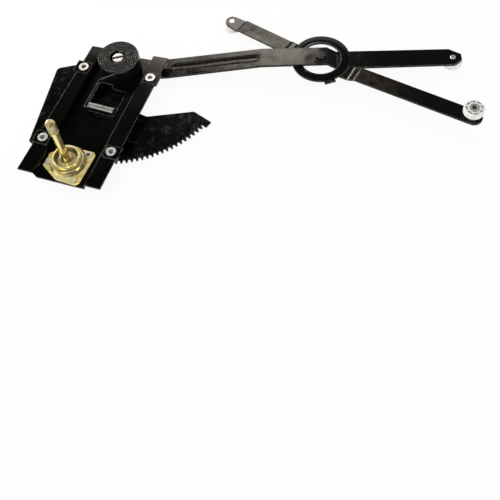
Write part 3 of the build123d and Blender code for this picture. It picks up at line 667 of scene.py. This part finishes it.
# Studio: a pale floor, five soft lamps and a world that is white to the camera only.
studio = {"floorSize": 6.0, "floorDrop": 0.0002, "floorKeep": 0.06, "floor": (0.92, 0.92, 0.92, 1),
          "white": (0.985, 0.985, 0.985, 1), "fill": 0.75,
          "horizon": 0.9, "sky": 0.03, "climb": (0.02, 0.42), "shade": 0.25, "across": (-0.8, 0.8)}
lamps = {
    "farStrip": {"place": (-0.285, 1.1475, 1.0), "aim": (-0.285, 1.1475, 0), "size": (0.53, 0.395),
                 "radiance": 9.5, "colour": (1.0, 0.90, 0.80)},
    "farCard": {"place": (-0.73, 1.15, 1.0), "aim": (-0.73, 1.15, 0), "size": (0.34, 0.32), "radiance": 5.0,
                "colour": (1.0, 0.92, 0.83)},
    "leftStrip": {"place": (-1.05, 0.50, 0.50), "aim": (0.0, 0.08, 0), "size": (0.9, 0.22), "radiance": 14.0,
                  "colour": (1.0, 0.98, 0.95)},
    "key": {"place": (-0.5, -1.1, 1.6), "aim": (0.15, 0.1, 0), "size": (0.9, 0.9), "radiance": 4.0,
            "colour": (1.0, 0.98, 0.95)},
    "side": {"place": (1.7, -0.3, 1.1), "aim": (0.2, 0.1, 0), "size": (0.7, 0.7), "radiance": 3.0,
             "colour": (0.96, 0.98, 1.0)},
}
lens = {"place": (0.45114, -0.42196, 0.77161), "azimuth": 27.288, "elevation": 61.639, "roll": -8.250,
        "length": 55.956, "sensor": 36.0, "clip": 0.01}


def makeFloor(spec):
    s = Shader("paleFloor")
    diffuse = s.node("ShaderNodeBsdfDiffuse", None, {"Color": spec["floor"]})
    glow = s.node("ShaderNodeEmission", None, {"Color": spec["white"], "Strength": 1.0})
    seen = None
    for ray in ("Is Camera Ray", "Is Glossy Ray", "Is Transmission Ray"):
        seen = stronger(seen, s.node("ShaderNodeLightPath", out=ray))
    # the part of the floor's own shading that is kept holds the shadow
    s.show(s.node("ShaderNodeMixShader", None, {0: seen * (1 - spec["floorKeep"]), 1: diffuse, 2: glow}))
    half, low = spec["floorSize"] / 2, cadLow.z - spec["floorDrop"]
    mesh = bpy.data.meshes.new("floor")
    mesh.from_pydata([(x, y, low) for x, y in ((-half, -half), (half, -half), (half, half), (-half, half))],
                     [], [(0, 1, 2, 3)])
    floor = addObject("floor", mesh)
    wear(floor, s.material)


def makeWorld(spec):
    world = bpy.data.worlds.new("studio")
    bpy.context.scene.world = world
    world.use_nodes = True
    w = Tree(world.node_tree)
    way = w.node("ShaderNodeTexCoord", out="Generated")
    # mirrored rays see a bright horizon, darker overhead and to the right
    level = w.part(way, 2).ramped(*spec["climb"], spec["horizon"], spec["sky"])
    level = level * w.part(way, 0).ramped(*spec["across"], 1.0, spec["shade"])
    soft = w.node("ShaderNodeBackground", None, {"Color": (1, 1, 1, 1), "Strength": spec["fill"]})
    mirrored = w.node("ShaderNodeBackground", None, {"Color": (1, 1, 1, 1), "Strength": level})
    white = w.node("ShaderNodeBackground", None, {"Color": spec["white"]})
    light = soft
    for ray, shown in (("Is Glossy Ray", mirrored), ("Is Camera Ray", white)):
        seen = w.node("ShaderNodeLightPath", out=ray)
        light = w.node("ShaderNodeMixShader", None, {0: seen, 1: light, 2: shown})
    w.node("ShaderNodeOutputWorld", None, {"Surface": light})


def makeLamps(specs):
    for name, spec in specs.items():
        data = bpy.data.lights.new(name, "AREA")
        data.shape = "RECTANGLE"
        data.size, data.size_y = spec["size"]
        data.energy = spec["radiance"] * pi * data.size * data.size_y
        data.color = spec["colour"]
        lamp = addObject(name, data)
        place, aim = Vector(spec["place"]), Vector(spec["aim"])
        lamp.location = place
        lamp.rotation_euler = (aim - place).to_track_quat("-Z", "Y").to_euler()
        lamp.visible_camera = False


def makeCamera(spec):
    turn, lift, roll = (radians(spec[k]) for k in ("azimuth", "elevation", "roll"))
    back = Vector((sin(turn) * cos(lift), -cos(turn) * cos(lift), sin(lift)))
    level = Vector((0, 0, 1)).cross(back).normalized()
    upright = back.cross(level)
    right = cos(roll) * level + sin(roll) * upright
    up = -sin(roll) * level + cos(roll) * upright
    data = bpy.data.cameras.new("camera")
    data.lens, data.sensor_width, data.clip_start = spec["length"], spec["sensor"], spec["clip"]
    camera = addObject("camera", data)
    matrix = Matrix((right, up, back)).transposed().to_4x4()
    matrix.translation = Vector(spec["place"])
    camera.matrix_world = matrix
    bpy.context.scene.camera = camera


makeFloor(studio)
makeWorld(studio)
makeLamps(lamps)
makeCamera(lens)
bpy.context.scene.view_settings.view_transform = "Standard"
print("studio set")
